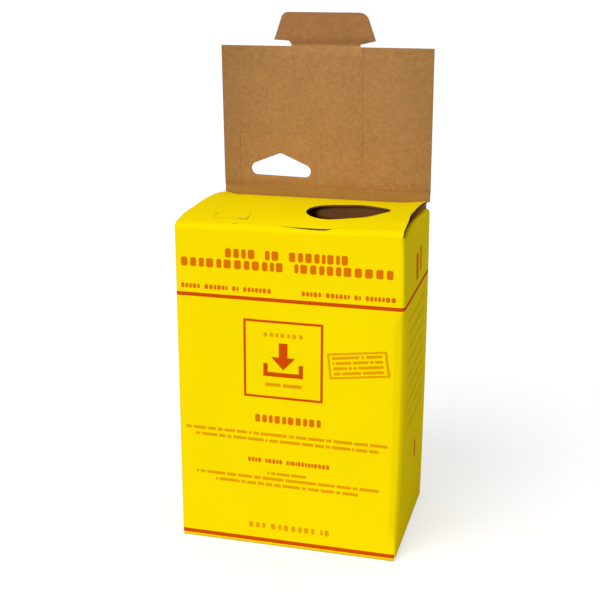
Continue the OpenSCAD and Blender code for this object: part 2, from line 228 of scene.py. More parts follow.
def within(spots, loops):
    """Which of many points lie inside closed outlines, holes among them."""
    inside = np.zeros(len(spots), bool)
    u, v = spots[:, 0], spots[:, 1]
    for loop in loops:
        for (u0, v0), (u1, v1) in zip(loop, loop[1:] + loop[:1]):
            if v0 != v1:
                inside ^= ((v0 > v) != (v1 > v)) & (u < (u1 - u0) * (v - v0) / (v1 - v0) + u0)
    return inside


def cover(rims, marks, lines, gap):
    """Triangles over a sheet, with its rims, printed marks and crease lines among their edges."""
    points, edges = [], []
    for loop, closed in [(r, True) for r in rims + marks] + [(line, False) for line in lines]:
        first = len(points)
        points += loop
        n = len(loop)
        edges += [(first + i, first + (i + 1) % n) for i in range(n if closed else n - 1)]
    fixed = np.array(points)
    low, high = fixed.min(0), fixed.max(0)
    net = np.array([(u, v) for u in np.arange(low[0] + gap / 2, high[0], gap)
                    for v in np.arange(low[1] + gap / 2, high[1], gap)]).reshape(-1, 2)
    net = net[within(net, rims)]
    keep_off = 0.45 * gap
    points += [tuple(spot) for spot in net if ((fixed - spot) ** 2).sum(1).min() > keep_off ** 2]
    spots, _, faces, origin, _, _ = delaunay_2d_cdt([Vector(p) for p in points], edges, [], 0, 1e-5)
    spots = [tuple(spot) for spot in spots]
    middles = np.array([[sum(spots[i][k] for i in face) / 3 for k in (0, 1)] for face in faces])
    kept = within(middles, rims)
    where = {old: new for new, olds in enumerate(origin) for old in olds}
    return spots, [f for f, keep in zip(faces, kept) if keep], middles[kept], where


def board(name, outline, place, papers, holes=(), prints=(), lines=(), joined=None, gap=8.0, thick=board_t):
    """A piece of board, drawn flat as (u, v) with its cut-outs and put where place(u, v, w) says, w being 0
    on the outer paper. papers are the outer, inner and cut-edge materials and then the inks. An edge that is
    joined to the next panel stays sharp, and a cut edge is a little rounded."""
    straight, soft_corner = 0.02, 0.75
    rims, sides, insets = [], [], []
    for k, loop in enumerate([outline, *holes]):
        turned = sum(a[0] * b[1] - a[1] * b[0] for a, b in zip(loop, loop[1:] + loop[:1])) < 0
        rim = spread(loop[::-1] if turned == (k == 0) else list(loop), gap)
        side = []
        for a, b in zip(rim, rim[1:] + rim[:1]):
            length = math.dist(a, b)
            shared = joined and joined((a[0] + b[0]) / 2, (a[1] + b[1]) / 2)
            side.append(((b[1] - a[1]) / length, (a[0] - b[0]) / length, 0.0 if shared else cut_round))
        inset = []
        for i, (u, v) in enumerate(rim):
            (au, av, ad), (bu, bv, bd) = side[i - 1], side[i]
            turn = au * bv - av * bu
            if abs(turn) < straight:
                inset.append((u - au * (ad + bd) / 2, v - av * (ad + bd) / 2))
            else:
                inset.append((u + (bd * av - ad * bv) / turn, v + (ad * bu - bd * au) / turn))
        rims.append(rim)
        sides.append(side)
        insets.append(inset)

    def lay(u, v, w):
        step = 0.02
        along = Vector(place(u + step, v, w)) - Vector(place(u - step, v, w))
        up = Vector(place(u, v + step, w)) - Vector(place(u, v - step, w))
        return Vector(place(u, v, w)) * MM, along.normalized(), up.normalized()

    lines = [spread(line, gap, closed=False) for line in lines]
    marks = [spread(mark, gap) for mark, _ in prints]
    spots, normals, faces, slots, shades, maps = [], [], [], [], [], []
    ends = {}
    for level, marked in ((0.0, marks), (-thick, [])):
        flat, cells, middles, where = cover(insets, marked, lines, gap)
        first = len(spots)
        for u, v in flat:
            at, along, up = lay(u, v, level)
            spots.append(at)
            normals.append(along.cross(up).normalized() * (1 if level == 0 else -1))
        ink = np.full(len(cells), 0 if level == 0 else 1)
        for mark, (_, number) in zip(marked, prints):
            near = np.all((middles >= np.min(mark, 0)) & (middles <= np.max(mark, 0)), axis=1).nonzero()[0]
            ink[near[within(middles[near], [mark])]] = number
        for cell, number in zip(cells, ink):
            (a, b, c) = [flat[i] for i in cell]
            left = (b[0] - a[0]) * (c[1] - a[1]) > (b[1] - a[1]) * (c[0] - a[0])
            cell = list(cell) if left == (level == 0) else list(cell)[::-1]
            faces.append([first + i for i in cell])
            slots.append(int(number))
            shades += [normals[first + i] for i in cell]
            maps += [(flat[i][0] * MM, flat[i][1] * MM) for i in cell]
        ends[level] = (first, where)

    start = 0
    for rim, side in zip(rims, sides):
        n = len(rim)
        rings = [[ends[0.0][0] + ends[0.0][1][start + i] for i in range(n)]]
        outs = []
        for level in (-cut_round, cut_round - thick):
            rings.append(list(range(len(spots), len(spots) + n)))
            row = []
            for u, v in rim:
                at, along, up = lay(u, v, level)
                spots.append(at)
                normals.append(None)
                row.append((along, up))
            outs.append(row)
        rings.append([ends[-thick][0] + ends[-thick][1][start + i] for i in range(n)])
        start += n
        depth = (0.0, cut_round / thick, 1 - cut_round / thick, 1.0)
        for i in range(n):
            j = (i + 1) % n
            lean = []
            for corner, other in ((i, side[i - 1]), (j, side[j])):
                own = side[i]
                soft = own[0] * other[0] + own[1] * other[1] > soft_corner
                lean.append((own[0] + other[0], own[1] + other[1]) if soft else own[:2])
            for high in (0, 1, 2):
                low = high + 1
                faces.append([rings[low][i], rings[low][j], rings[high][j], rings[high][i]])
                slots.append((0, 2, 1)[high])
                for ring, corner, (lu, lv) in ((low, i, lean[0]), (low, j, lean[1]),
                                               (high, j, lean[1]), (high, i, lean[0])):
                    if ring in (1, 2):
                        along, up = outs[ring - 1][corner]
                        shades.append((along * lu + up * lv).normalized())
                    else:
                        shades.append(normals[rings[ring][corner]])
                    u, v = rim[corner]
                    maps.append((u * MM, depth[ring] if high == 1 else v * MM))

    mesh = bpy.data.meshes.new(name)
    mesh.from_pydata(spots, [], faces)
    for paper in papers:
        mesh.materials.append(paper)
    mesh.polygons.foreach_set("material_index", slots)
    mesh.polygons.foreach_set("use_smooth", [True] * len(faces))
    mesh.uv_layers.new(name="flat").data.foreach_set("uv", [x for pair in maps for x in pair])
    mesh.normals_split_custom_set(shades)
    mesh.update()
    piece = bpy.data.objects.new(name, mesh)
    scene.collection.objects.link(piece)
    return piece


# Each stripe that is printed across the walls has a middle height and half a width.
fill_band, foot_band = (233.2, 1.75), (4.8, 2.0)
bulge, bulge_run, bulge_fade, bulge_round = 3.2, 16.0, 0.66, 0.75


def ramp(low, high, value):
    """0 below the low value, 1 above the high one, and a smooth rise between them."""
    t = max(0.0, min(1.0, (value - low) / (high - low)))
    return t * t * (3 - 2 * t)


def pushed_out(x, y, z):
    """How far the walls have been pushed out to the right: most half-way up, and at the front corner."""
    high = max(0.0, math.sin(math.pi * z / wall_top)) ** bulge_round
    near = ramp(box_w / 2 - bulge_run, box_w / 2, x)
    return bulge * high * near * (1 - bulge_fade * ramp(-box_d / 2, box_d / 2, y))


def worn_corner(bends):
    """Profile of a corner that has been pushed out of shape, from its edge inwards: how far each point lies
    along the wall and behind its face, and how far it is turned. bends are (distance, degrees) pairs."""
    step = 0.05
    far = np.arange(0.0, bends[-1][0] + step, step)
    turn = np.radians(np.interp(far, *zip(*bends)))
    along, back = np.cumsum(np.cos(turn)) * step, np.cumsum(np.sin(turn)) * step
    return far, along, back[-1] - back, turn


front_worn = worn_corner(((0.0, 45.0), (1.2, 32.0), (5.4, 28.0), (6.6, 0.0), (12.0, 0.0)))
side_worn = worn_corner(((0.0, 45.0), (1.2, 25.0), (5.0, 15.0), (10.0, 0.0), (12.0, 0.0)))
worn_steps = (0.4, 0.8, 1.2, 2.4, 3.8, 5.4, 5.8, 6.2, 6.6, 9.0, 12.0)
crisp_foot, crisp_from, crisp_full = 30.0, fill_band[0] - 20, fill_band[0] + 3
worn_levels = (*range(212, 240, 5), *range(6, 34, 6))


def upright(across, out, reach, half, give=None, worn=None):
    """Where a point of an upright wall lies: flat in its middle and rolled half-way round both corners. worn
    is the side, own profile and next wall's profile of a corner that is crisp only at its foot and above the
    fill stripe."""
    across, out = Vector(across), Vector(out)
    full, edge = half + corner_r, half + corner_arc

    def place(u, v, w):
        side, s = math.copysign(1, u), abs(u)
        if give:
            w += give(u, v)
        turn = max(0.0, s - half) / corner_r
        along = min(s, half) + (corner_r + w) * math.sin(turn)
        back = corner_r - (corner_r + w) * math.cos(turn)
        if worn and side == worn[0]:
            far, alongs, backs, turns = worn[1]
            soft = ramp(0.0, crisp_foot, v) * (1 - ramp(crisp_from, crisp_full, v))
            t, end = edge - s, full - worn[2][2][0]
            lean = np.interp(t, far, turns)
            soft_along = end - np.interp(t, far, alongs)
            if t >= far[-1]:
                soft_along = s * (end - alongs[-1]) / (edge - far[-1])
            along += (soft_along + w * math.sin(lean) - along) * soft
            back += (np.interp(t, far, backs) - w * math.cos(lean) - back) * soft
        spot = across * (side * along) + out * (reach - back)
        return spot.x + pushed_out(spot.x, spot.y, v), spot.y, v
    return place


def corner_steps(half):
    """Points from the start of a wall's right corner to its end."""
    return [half + corner_arc * k / 4 for k in range(5)]


def level_edge(steps, v):
    """A level edge of a wall from left to right, with points all round both corners."""
    return [(-u, v) for u in steps[::-1]] + [(u, v) for u in steps]


def corner_lines(half, low, high, worn=None):
    """Upright lines that let a wall bend round its corners."""
    lines = []
    for side in (-1, 1):
        steps = corner_steps(half)[:-1]
        if worn and side == worn[0]:
            steps = [half + corner_arc - t for t in worn_steps]
        lines += [[(side * u, low + line_short), (side * u, high - line_short)] for u in steps]
    return lines


def level_lines(left, right, levels, short=line_short):
    """Lines across a sheet at the given levels, stopping just short of its edges."""
    return [[(left + short, v), (right - short, v)] for v in levels]


def bar(u0, v0, u1, v1, r=0.3):
    """A printed bar with its corners taken off."""
    return [(u0 + r, v0), (u1 - r, v0), (u1, v0 + r), (u1, v1 - r), (u1 - r, v1), (u0 + r, v1), (u0, v1 - r),
            (u0, v0 + r)]


def frame_bars(u0, v0, u1, v1, line, r):
    """A printed frame as four bars."""
    return [bar(u0, v0, u0 + line, v1, r), bar(u1 - line, v0, u1, v1, r),
            bar(u0 + line, v0, u1 - line, v0 + line, 0.0), bar(u0 + line, v1 - line, u1 - line, v1, 0.0)]


def word_bars(u0, u1, v0, v1, lengths, space=0.7):
    """One line of print as plain bars of the given lengths, spaced to fill the line."""
    unit = (u1 - u0) / (sum(lengths) + space * (len(lengths) - 1))
    bars, u = [], u0
    for length in lengths:
        bars.append(bar(u, v0, u + length * unit, v1))
        u += (length + space) * unit
    return bars


def block_bars(u0, u1, v0, v1, words, space=0.9, share=0.7):
    """A line of large print as plain rounded blocks of uneven widths, as many to each word as given."""
    r = min(1.1, 0.22 * (v1 - v0))
    widths = [(1.0, 0.84, 1.1, 0.92, 0.62, 1.04, 0.78)[(3 * k + k // 4) % 7] for k in range(sum(words))]
    unit = (u1 - u0) / (sum(widths) + space * (len(words) - 1) - (1 - share) * widths[-1])
    bars, u, k = [], u0, 0
    for word in words:
        for width in widths[k:k + word]:
            bars.append(bar(u, v0, u + width * share * unit, v1, r))
            u += width * unit
        u, k = u + space * unit, k + word
    return bars


yellow_ink = paint(255, 226, 2)
red_ink = paint(212, 78, 3)
yellow_print = printed_paper("yellow_print", yellow_ink, (fill_band, foot_band), red_ink)
red_print = printed_paper("red_print", red_ink)
orange_print = printed_paper("orange_print", paint(226, 116, 6))
pale_print = printed_paper("pale_print", paint(236, 162, 6))
kraft_inside = kraft_paper("kraft_inside", paint(166, 124, 78))
# The dark brown of the flutes' hollows is painted shade.
cut_edge = fluted_edge("cut_edge", paint(168, 122, 72), paint(70, 46, 26))
RED, ORANGE, PALE = 3, 4, 5
wall_papers = (yellow_print, kraft_inside, cut_edge, red_print, orange_print, pale_print)

prints = []
for line_bars, ink, left, right, low, high, words, fit in (
        (block_bars, ORANGE, -54.0, 53.6, 268.0, 276.3, (4, 2, 8), {}),
        (block_bars, ORANGE, -94.3, 91.6, 258.3, 266.3, (12, 11), {}),
        (block_bars, ORANGE, -94.8, -13.2, 238.6, 243.1, (5, 6, 2, 7), {"share": 0.78}),
        (block_bars, ORANGE, 14.0, 93.6, 238.6, 243.1, (5, 6, 2, 7), {"share": 0.78}),
        (block_bars, ORANGE, -28.2, 32.0, 120.2, 127.6, (10,), {}),
        (word_bars, PALE, -93.2, 91.0, 107.6, 110.4, (2, 5, 3, 2, 4, 4, 1, 2, 10, 2, 4, 6, 2, 7, 5, 6), {}),
        (word_bars, PALE, -84.3, 84.3, 101.8, 104.6, (2, 7, 3, 2, 6, 7, 1, 4, 9, 5, 4, 2, 8, 1, 5, 4), {}),
        (block_bars, ORANGE, -35.3, 40.0, 81.3, 85.9, (4, 5, 13), {"share": 0.8}),
        (word_bars, PALE, -17.3, 18.7, 70.4, 73.1, (1, 2, 6, 7), {}),
        (word_bars, PALE, -84.5, 85.5, 64.9, 67.7, (1, 2, 8, 4, 6, 3, 9, 13, 7, 6, 2, 8), {}),
        (word_bars, PALE, -66.0, 66.7, 59.1, 61.9, (1, 9, 2, 4, 3, 3, 3, 8, 2, 5, 6, 2, 7), {}),
        (block_bars, PALE, -35.0, 40.0, 16.2, 22.0, (3, 7, 2), {"space": 0.5, "share": 0.6})):
    prints += [(b, ink) for b in line_bars(left, right, low, high, words, **fit)]

# A plain sign is printed in a framed square: an arrow pointing down into an open tray, and two rows of bars.
sign_l, sign_r, sign_low, sign_high, sign_line = -38.3, 33.6, 143.5, 215.0, 2.2
prints += [(b, RED) for b in frame_bars(sign_l, sign_low, sign_r, sign_high, sign_line, 0.2)]
sign_x = (sign_l + sign_r) / 2
shaft_half, head_half, arrow_top, head_top, arrow_tip = 4, 11, 195, 182, 170.5
tray_half, tray_inside, tray_low, tray_floor, tray_top = 18, 14, 164, 168, 176
arrow = [(-shaft_half, arrow_top), (-shaft_half, head_top), (-head_half, head_top), (0, arrow_tip),
         (head_half, head_top), (shaft_half, head_top), (shaft_half, arrow_top)]
tray = [(-tray_half, tray_top), (-tray_half, tray_low), (tray_half, tray_low), (tray_half, tray_top),
        (tray_inside, tray_top), (tray_inside, tray_floor), (-tray_inside, tray_floor),
        (-tray_inside, tray_top)]
prints += [([(sign_x + u, v) for u, v in loop], RED) for loop in (arrow, tray)]
prints += [(b, PALE) for b in block_bars(-20.0, 15.4, 200.0, 204.0, (7,), share=0.6)]
prints += [(b, PALE) for b in word_bars(-19.0, 14.4, 154.8, 158.0, (5, 6))]

# A tilted outline with four rows of plain bars is printed to the right of the sign.
note_at, note_w, note_h, note_turn = (39.8, 166.4), 52.6, 23.2, math.radians(7.0)
note_line, note_in, row_low, row_high, row_step = 1.8, 4.0, 17.4, 20.0, 4.7
note = frame_bars(0, 0, note_w, note_h, note_line, 0.1)
for row, lengths in enumerate(((10, 1, 6), (1, 8, 8, 2, 4), (8, 2, 2, 14), (3, 8, 9))):
    down = row_step * row
    note += word_bars(note_in, note_w - note_in, row_low - down, row_high - down, lengths)
tilt_c, tilt_s = math.cos(note_turn), math.sin(note_turn)
for loop in note:
    prints.append(([(note_at[0] + u * tilt_c - v * tilt_s, note_at[1] + u * tilt_s + v * tilt_c)
                    for u, v in loop], PALE))

# The wall swells a little between its edges, and an old score runs beside the right corner. Its top edge
# follows the soft top, which is out of true: sagging at the front, low on the left and lifted on the right.
score_x, score_w, score_depth, swell = 93.0, 0.6, 0.22, 0.5
front_sag, sag_run = 1.2, 30.0
left_drop, left_run, right_lift, right_run = 1.4, 130.0, 2.3, 72.0
even_run, give_run, give_round = 28.0, 20.0, 1.4


def top_give(x, depth):
    """How far the soft top stands above its true arc, at this depth from the front."""
    lift, run = (right_lift, right_run) if x > 0 else (-left_drop, left_run)
    tilt = lift * abs(x / (box_w / 2)) ** give_round * (1 - ramp(even_run, run, depth))
    return tilt - front_sag * max(0.0, 1 - max(0.0, depth) / sag_run) ** 2


def front_give(u, v):
    rise = max(0.0, swell * math.cos(math.pi * u / (2 * front_half)) * math.sin(math.pi * v / wall_top))
    return rise - score_depth * math.exp(-((u - score_x) / score_w) ** 2)


front_corner = (1, front_worn, side_worn)
front_flat = upright((1, 0, 0), (0, -1, 0), box_d / 2, front_half, front_give, front_corner)


def front_place(u, v, w):
    return front_flat(u, v, w)[:2] + (v + top_give(u, 0.0) * ramp(wall_top - give_run, wall_top, v),)


front_end = front_half + corner_arc
front_steps = corner_steps(front_half)
front_outline = level_edge(front_steps, 0.0) + level_edge(front_steps, wall_top)[::-1]
front_lines = corner_lines(front_half, 0.0, wall_top, front_corner)
for u in [score_x + d for d in (-1.2, -0.5, 0.0, 0.5, 1.2)]:
    front_lines.append([(u, line_short), (u, wall_top - line_short)])
give_levels = (wall_top - 3, wall_top - 6.5, wall_top - 11)
front_lines += level_lines(-front_end, front_end, give_levels + worn_levels)
front = board("front_wall_board", front_outline, front_place, wall_papers, prints=prints, lines=front_lines,
              joined=lambda u, v: abs(u) > front_end - snug or v > wall_top - snug)
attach(front, "carton")
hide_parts("front_wall")

# Side walls. The two narrow panels of the same blank, printed yellow with the upper stripe; the right one
# also carries upright strokes and rows of print. Each ends at the top in a shallow arc, where its dust flap
# is folded in, and at the foot in its bottom flap.
crown_y, crown_z, crown_r = 2.0, -78.083, 382.083
dust_drop, dust_half, dust_soft = 4.75, 66.0, 3.0
soft_run, droop, droop_run, droop_back, droop_end, droop_less = 36.0, 4.2, 14.0, 34.0, 64.0, 0.6
side_foot, corner_drop = 2 * board_t, 0.3


def dust_fold(y):
    """Radius of the roll from a side wall into its dust flap: tight at the front end, soft further back."""
    return board_t + (dust_soft - board_t) * ramp(-dust_half, -dust_half + soft_run, y)


def dust_r(y):
    """Height of a side wall's upper edge as a radius from the crown's middle; low where its flap droops."""
    low = droop * ramp(-dust_half, -dust_half + droop_run, y)
    low *= 1 - droop_less * ramp(droop_back, droop_end, y)
    return crown_r - dust_drop - low - dust_fold(y)


def side_top(y, s):
    """Upper edge of a side wall; past the dust flap it meets the front wall's own corner."""
    if y < -dust_half:
        return wall_top + top_give(s * box_w / 2, 0.0) - corner_drop
    return crown_z + math.sqrt(dust_r(y) ** 2 - (y - crown_y) ** 2)


ochre_print = printed_paper("ochre_print", paint(240, 203, 3))
side_yellow = printed_paper("side_yellow", yellow_ink, (fill_band,), red_ink)
side_papers = (side_yellow,) + wall_papers[1:] + (ochre_print,)
OCHRE = 6
strokes = ((-7.0, 242.0, 5.0, 265.5), (14.5, 245.5, 22.5, 268.5), (9.0, 66.0, 18.0, 83.0))
side_prints = [(bar(*stroke), ORANGE) for stroke in strokes]
row_l, row_r, row_low, row_h, row_step, row_in, row_out = -48.0, 46.0, 214.0, 4.4, 12.5, 3, 5
row_words = ((3, 8, 2, 6), (6, 2, 9, 4), (8, 5, 3))
for row in range(9):
    low = row_low - row_step * row
    left, right = row_l + row_in * (row % 3), row_r - row_out * (row % 2)
    side_prints += [(b, OCHRE) for b in word_bars(left, right, low, low + row_h, row_words[row % 3])]
side_steps = corner_steps(side_half)
side_end = side_steps[-1]
side_lines = level_lines(-side_end, side_end, worn_levels)
corner_top, flap_from, arc_steps, arc_gap = 283.0, 278.0, 24, 0.1
for name, s, marks in (("right", 1, side_prints), ("left", -1, [])):
    side_corner = (-1, side_worn, front_worn) if s > 0 else None
    side_place = upright((0, s, 0), (s, 0, 0), box_w / 2, side_half, worn=side_corner)
    ends = [dust_half + arc_gap] + side_steps
    arc = [(dust_half - arc_gap) * k / arc_steps for k in range(arc_steps, -arc_steps - 1, -1)]
    upper = [(u, side_top(side_place(u, 0, 0)[1], s)) for u in ends[::-1] + arc + [-u for u in ends]]
    corners = corner_lines(side_half, side_foot, corner_top, side_corner)
    side = board(name + "_wall_board", level_edge(side_steps, side_foot) + upper, side_place, side_papers,
                 prints=marks, lines=side_lines + corners,
                 joined=lambda u, v: (abs(u) > side_end - snug or v < side_foot + snug
                                      or (v > flap_from and abs(u) < dust_half)))
    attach(side, "carton")
    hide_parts(name + "_wall")

# Back wall and glue flap. The printed back rises to the lid's crease, where the board is crushed thin from
# inside. The flap is a strip of the left wall, turned in at the corner and glued flat inside the back.
crease_y, crease_z, crease_t = 69.6, 305.0, 0.8
crease_groove, crease_lap, crush_run = 1.404, 0.3, 1.2
lap_thin, lap_sink, sink_from, lap_line = 0.7, 0.12, 0.5, 0.65
back_foot = board_t


def crushed(distance, thinned=False):
    """Share of the board's thickness left at this distance from the line of a crease. The fixed side is
    thinned once more where it runs in under the moving side's round foot."""
    past = (distance - crease_groove) / crush_run
    left = crease_t / board_t + (1 - crease_t / board_t) * max(0.0, min(1.0, past))
    if thinned:
        left *= lap_thin + (1 - lap_thin) * ramp(crease_lap, 2 * crease_lap, distance)
    return left


back_flat = upright((-1, 0, 0), (0, 1, 0), box_d / 2, front_half)
back_top = crease_z - crease_lap
back_end, corner_end, flat_run = 99.8, 290.0, 5.0
notch_end, notch_top, notch_slant = 96.4, 297.0, 1.0


def back_place(u, v, w):
    """Rolled round the corners up to the top of the side walls, and flat above, where its ends are cut."""
    w = -lap_sink * (v > crease_z - sink_from) + w * crushed(crease_z - v, True)
    x, y, z = back_flat(u, v, w)
    flat = ramp(corner_end, corner_end + flat_run, v)
    return x + (pushed_out(-u, y, z) - u - x) * flat, y + (box_d / 2 + w - y) * flat, z


def both_halves(right):
    """An outline from its right half, which is drawn from the foot to the end."""
    return right + [(-u, v) for u, v in right[::-1]]


shoulder = crease_z - crease_groove
back_cut = [(u, back_foot) for u in front_steps]
back_cut += [(front_end, corner_end - notch_slant), (notch_end, corner_end), (notch_end, notch_top),
             (back_end, notch_top + notch_slant), (back_end, back_top)]
back_levels = (corner_end, corner_end + flat_run / 2, corner_end + flat_run, shoulder - crush_run, shoulder,
               crease_z - lap_line)
back_lines = corner_lines(front_half, back_foot, corner_end)
back_lines += level_lines(-front_half, front_half, back_levels, short=1)
# The back wall's inner paper is the inside kraft painted darker and yellower: painted shade and painted
# yellow bounce light on the strip at the lid's foot.
back_kraft_shaded = kraft_paper("back_kraft_shaded", paint(160, 117, 56))
back = board("back_wall_board", both_halves(back_cut), back_place, (yellow_print, back_kraft_shaded, cut_edge),
             lines=back_lines,
             joined=lambda u, v: (v < back_foot + snug
                                  or (abs(u) > front_end - snug and v < corner_end - notch_slant)))
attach(back, "carton")
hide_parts("back_wall")

glue_l, glue_w, glue_low, glue_high, glue_slant = -97.0, 25.0, 7.6, 266.2, 6.0
glue_outline = [(glue_l, glue_low), (glue_l + glue_w, glue_low + glue_slant),
                (glue_l + glue_w, glue_high - glue_slant), (glue_l, glue_high)]
glue = board("glue_flap_board", glue_outline, lambda u, v, w: (u, box_d / 2 - 2 * board_t - w, v),
             (kraft_inside, yellow_print, cut_edge))
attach(glue, "carton")
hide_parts("glue_flap")

# Top sheet. The front wall runs over a soft round fold into the crowned top, which turns down again at the
# back into a tuck flap inside the back wall. It is the same printed board, and the drop opening, the lock
# slot and the small flap's window are die-cut in it.
fold_r, tuck_r, tuck_gap, tuck_len = 5.0, 2.4, 0.3, 28.0
fold_y = -box_d / 2 + fold_r
fold_a = math.asin((crown_y - fold_y) / (crown_r - fold_r))
tuck_y = box_d / 2 - board_t - tuck_gap
tuck_a = math.asin((tuck_y - tuck_r - crown_y) / (crown_r - tuck_r))
tuck_z = crown_z + (crown_r - tuck_r) * math.cos(tuck_a)
fold_end = fold_r * (math.pi / 2 - fold_a)
crown_end = fold_end + crown_r * (fold_a + tuck_a)
tuck_end = crown_end + tuck_r * (math.pi / 2 - tuck_a)


def crown_v(y):
    """Distance along the sheet of the point of the crown at this depth."""
    return fold_end + crown_r * (fold_a + math.asin((y - crown_y) / crown_r))


push_x, push_w, push_len, push_a, push_crush = -54.5, 30.0, 13.5, math.radians(6.462), 4.0
cut_gap, end_gap = 0.28, 0.04
push_v = fold_end + crown_r * (fold_a - push_a)
slot_half, slot_left, slot_depth = 46.29, 48.09, 6.796
slot_ear, slot_ear_w, shut_ear_w = 2.8, 0.35, 0.1
slot_back = crown_v(-box_d / 2 + slot_depth)
lip_press, lip_raise, far_press, far_more, far_run = 1.8, 0.55, 0.9, 0.7, 24.0
lip_in, lip_out = 4, 7
press_from, press_full, press_fade, press_end = -19.0, 30.0, 33.0, 43.0
rear_sag, rear_run, rear_left, rear_right = 3.0, 56.0, (-99.0, -86.0), (72.0, 97.0)


def lip_give(u, v):
    """The slot's two edges have been pressed by the tongue: the front lip to the right of the middle, the
    edge behind it all along."""
    along = 1 - ramp(slot_half - lip_in, slot_half + lip_out, abs(u))
    pressed = ramp(press_from, press_full, u) * (1 - ramp(press_fade, press_end, u))
    if v < (fold_end + slot_back) / 2:
        near = min(1.0, max(0.0, v / fold_end))
        return along * (lip_raise * (1 - pressed) - lip_press * pressed) * near ** 2
    near = max(0.0, 1 - max(0.0, v - slot_back) / far_run)
    return -along * (far_press + far_more * pressed) * near ** 2


def rear_give(u, y):
    """The sheet's back edge sags between its two ends, more suddenly at the left one."""
    between = ramp(*rear_left, u) * (1 - ramp(*rear_right, u))
    return -rear_sag * between * max(0.0, min(1.0, 1 + (y - tuck_y) / rear_run)) ** 2


def top_place(u, v, w):
    if abs(u - push_x) < push_w / 2 and push_v < v < push_v + push_crush:
        w = w * crushed(v - push_v, True)
    if v < 0:
        y, z = -box_d / 2 - w, wall_top + v
    elif v < fold_end:
        turn = math.pi - v / fold_r
        y, z = fold_y + (fold_r + w) * math.cos(turn), wall_top + (fold_r + w) * math.sin(turn)
    elif v < crown_end:
        turn = math.pi / 2 + fold_a - (v - fold_end) / crown_r
        y, z = crown_y + (crown_r + w) * math.cos(turn), crown_z + (crown_r + w) * math.sin(turn)
    elif v < tuck_end:
        turn = math.pi / 2 - tuck_a - (v - crown_end) / tuck_r
        y, z = tuck_y - tuck_r + (tuck_r + w) * math.cos(turn), tuck_z + (tuck_r + w) * math.sin(turn)
    else:
        y, z = tuck_y + w, tuck_z - (v - tuck_end)
    return u, y, z + top_give(u, y + box_d / 2) + lip_give(u, v) + rear_give(u, y)


# The drop opening is a long hole with a blunt tip at its right end, turned a little from the front edge.
drop_at, drop_r, drop_run, drop_turn = (30.75, -21.5), 25.0, 17.5, math.radians(16.5)
tip_r, tip_len = 13.0, 35.5
tip_open = math.acos((drop_r - tip_r) / (tip_len - drop_run))
quarter, fineness = math.pi / 2, 2.5
drop_hole = []
for run, r, first, last in ((0.0, drop_r, quarter, 3 * quarter), (drop_run, drop_r, -quarter, -tip_open),
                            (tip_len, tip_r, -tip_open, tip_open), (drop_run, drop_r, tip_open, quarter)):
    steps = math.ceil((last - first) * math.sqrt(r) * fineness)
    for a in [drop_turn + first + (last - first) * k / steps for k in range(steps + 1)]:
        x = drop_at[0] + run * math.cos(drop_turn) + r * math.cos(a)
        y = drop_at[1] + run * math.sin(drop_turn) + r * math.sin(a)
        drop_hole.append((x, crown_v(y)))

ear_end = slot_back + slot_ear
slot_hole = [(-slot_left, fold_end), (slot_half, fold_end), (slot_half, slot_back),
             (slot_half + slot_ear, ear_end), (slot_half + slot_ear - slot_ear_w, ear_end),
             (slot_half - slot_ear_w, slot_back),
             (shut_ear_w - slot_left, slot_back), (shut_ear_w - slot_left - slot_ear, ear_end),
             (-slot_left - slot_ear, ear_end), (-slot_left, slot_back)]
push_half = push_w / 2
push_reach, push_front = push_half + cut_gap, push_v - push_len - end_gap
push_low, push_high = push_v + crease_lap, push_v + crease_groove
push_right = [(push_reach, push_front), (push_reach, push_high), (push_half, push_high),
              (push_half, push_low)]
push_hole = [(push_x + u, v) for u, v in both_halves(push_right)]

sheet_half, sheet_pull, pull_from, pull_to = 99.5, 2.0, -50, -20
tuck_half, flap_slant = 95.4, 10.0
sheet_bends = [fold_end * k / 12 for k in range(13)]
tuck_bends = [crown_end + (tuck_end - crown_end) * k / 8 for k in range(9)]
sheet_end = tuck_end + tuck_len
right_edge = [(sheet_half, v) for v in sheet_bends]
right_edge += [(sheet_half - sheet_pull * ramp(pull_from, pull_to, y), crown_v(y))
               for y in range(pull_from, pull_to + 4, 4)]
right_edge += [(sheet_half - sheet_pull, crown_end)] + [(tuck_half, v) for v in tuck_bends]
right_edge += [(tuck_half, sheet_end - flap_slant), (tuck_half - flap_slant, sheet_end)]
lip_levels = [crown_v(y) for y in (-58.6, -56.2)]
push_levels = [push_v + d for d in (lap_line, 1.6, 2.6)]
top_lines = level_lines(-sheet_half, sheet_half, sheet_bends[1:-1] + lip_levels)
top_lines += level_lines(-tuck_half, tuck_half, tuck_bends[1:])
top_lines += level_lines(push_x - push_half, push_x + push_half, push_levels)
# The top sheet's inner paper is the inside kraft painted darker and redder: painted shade for its tuck flap
# as seen through the drop opening.
top_kraft_shaded = kraft_paper("top_kraft_shaded", paint(160, 104, 58))
top = board("top_sheet_board", both_halves(right_edge), top_place, (yellow_print, top_kraft_shaded, cut_edge),
            holes=(drop_hole, slot_hole, push_hole), lines=top_lines, gap=6.0,
            joined=lambda u, v: v < snug or (abs(v - push_front) < snug and abs(u - push_x) < push_reach))
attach(top, "carton")
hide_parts("top_fold", "top_panel", "top_tuck_flap")

